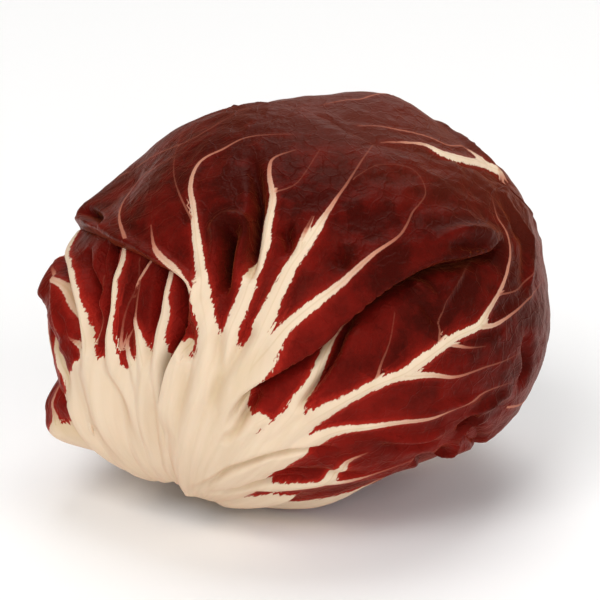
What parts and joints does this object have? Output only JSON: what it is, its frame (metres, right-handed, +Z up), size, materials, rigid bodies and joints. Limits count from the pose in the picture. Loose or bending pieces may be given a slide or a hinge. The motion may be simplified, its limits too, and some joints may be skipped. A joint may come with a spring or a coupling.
{
  "type": "radicchio head",
  "caption": "Round loose-wrapped head of red radicchio: ribbed dark red outer leaves with white bases folded over a firm heart, lying on its side on a small flat spot.",
  "frame": {"origin": "on the surface that the head lies on, under the middle of its box", "axes": "+X to the right of the broad front leaf's face, -Y towards the viewer that this face looks at, +Z up; the cut stem points down, left and to the front"},
  "size_m": [0.1456, 0.1188, 0.1065],
  "materials": {
    "leaf": "dark red leaf blade with a soft waxy sheen, cream white ribs and base",
    "heart": "pale young leaves, pink tinted, satin",
    "stem": "dry cream cut stem, matt"
  },
  "bodies": {
    "root": {"front_leaf": "leaf", "left_leaf": "leaf", "lower_left_leaf": "leaf", "under_leaf": "leaf", "right_leaf": "leaf", "left_back_leaf": "leaf", "back_leaf": "leaf", "heart": "heart", "stem": "stem"}
  },
  "joints": []
}
